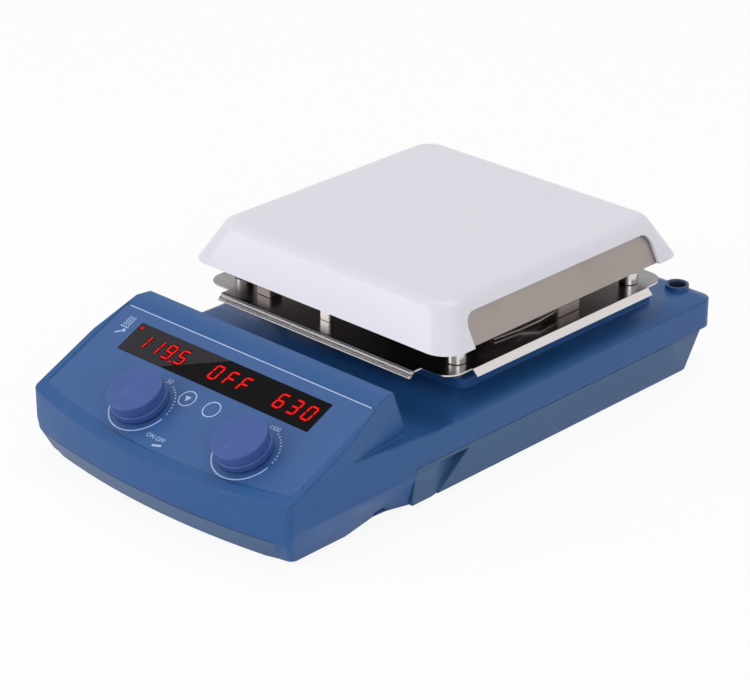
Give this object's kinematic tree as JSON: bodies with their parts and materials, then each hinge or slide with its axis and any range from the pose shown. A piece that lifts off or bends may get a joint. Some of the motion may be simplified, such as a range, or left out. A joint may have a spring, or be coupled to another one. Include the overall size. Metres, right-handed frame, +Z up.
{
  "type": "hotplate stirrer",
  "caption": "Laboratory hotplate stirrer with a square white ceramic-glazed heating plate, a blue housing with a sloped control panel, two turning knobs and a red digital display.",
  "frame": {"origin": "on the bench, under the middle of the body's outline", "axes": "+X to the right of the control panel, +Y from the panel to the back, +Z up"},
  "size_m": [0.215, 0.3844, 0.1105],
  "materials": {
    "blue_paint": "fine textured satin coat",
    "blue_plastic": "fine moulded texture",
    "panel_film": "smooth printed film",
    "smoked_window": "smooth dark acrylic",
    "black_plastic": "moulded",
    "circuit_board": "lacquered board",
    "steel": "machined",
    "polished_steel": "bright polished sheet",
    "satin_steel": "satin sheet",
    "white_enamel": "smooth white glaze",
    "heater_film": "pressed mica",
    "fibre_mat": "felted ceramic fibre",
    "knob_plastic": "smooth moulded",
    "magnet_nickel": "nickel plated",
    "bare_aluminium": "extruded",
    "foot_rubber": "moulded"
  },
  "bodies": {
    "housing": {"upper_housing": "blue_paint", "lower_shell": "blue_plastic", "panel_overlay": "panel_film", "display_window": "smoked_window", "display_modules": "black_plastic", "display_board": "circuit_board", "encoder_bodies": "black_plastic", "encoder_nuts": "steel", "key_switches": "black_plastic", "plate_lid": "white_enamel", "heater_pan": "satin_steel", "heating_element": "heater_film", "insulation_mat": "fibre_mat", "temperature_sensor": "steel", "plate_posts": "polished_steel", "heat_shield": "polished_steel", "shield_standoffs": "polished_steel", "shield_screws": "steel", "motor_bracket": "steel", "stir_motor": "steel", "rod_socket": "steel", "rear_panel": "black_plastic", "power_inlet": "black_plastic", "switch_body": "black_plastic", "fuse_holder": "black_plastic", "probe_socket": "steel", "power_board": "circuit_board", "transformer": "black_plastic", "heat_sink": "bare_aluminium", "rubber_feet": "foot_rubber", "base_screws": "steel"},
    "temperature_rotor_body": {"temperature_rotor": "steel"},
    "temperature_knob_body": {"temperature_knob": "knob_plastic", "temperature_shaft": "steel"},
    "speed_rotor_body": {"speed_rotor": "steel"},
    "speed_knob_body": {"speed_knob": "knob_plastic", "speed_shaft": "steel"},
    "select_key_body": {"select_key": "panel_film"},
    "timer_key_body": {"timer_key": "panel_film"},
    "stirring_drive": {"drive_shaft": "steel", "magnet_yoke": "steel", "stir_magnets": "magnet_nickel"},
    "rocker_body": {"switch_rocker": "black_plastic"}
  },
  "joints": [
    {"name": "temperature_turn", "type": "hinge", "parent": "housing", "child": "temperature_rotor_body", "pos_m": [-0.0323, -0.16226, 0.04898], "axis": [0, -0.4185, 0.9082], "continuous": true},
    {"name": "temperature_push", "type": "slide", "parent": "temperature_rotor_body", "child": "temperature_knob_body", "axis": [0, 0.4185, -0.9082], "range_m": [0, 0.0006], "stiffness_N_per_m": 1500, "springref_m": -0.001},
    {"name": "speed_turn", "type": "hinge", "parent": "housing", "child": "speed_rotor_body", "pos_m": [0.0538, -0.16226, 0.04898], "axis": [0, -0.4185, 0.9082], "continuous": true},
    {"name": "speed_push", "type": "slide", "parent": "speed_rotor_body", "child": "speed_knob_body", "axis": [0, 0.4185, -0.9082], "range_m": [0, 0.0006], "stiffness_N_per_m": 1500, "springref_m": -0.001},
    {"name": "select_key_press", "type": "slide", "parent": "housing", "child": "select_key_body", "axis": [0, 0.4185, -0.9082], "range_m": [0, 0.0004], "stiffness_N_per_m": 1200, "springref_m": -0.0008},
    {"name": "timer_key_press", "type": "slide", "parent": "housing", "child": "timer_key_body", "axis": [0, 0.4185, -0.9082], "range_m": [0, 0.0004], "stiffness_N_per_m": 1200, "springref_m": -0.0008},
    {"name": "stirring_turn", "type": "hinge", "parent": "housing", "child": "stirring_drive", "pos_m": [0, 0.0509, 0.06], "axis": [0, 0, 1], "continuous": true},
    {"name": "power_rocker", "type": "hinge", "parent": "housing", "child": "rocker_body", "pos_m": [-0.01, 0.18465, 0.024], "axis": [-1, 0, 0], "range_deg": [0, 16]}
  ]
}
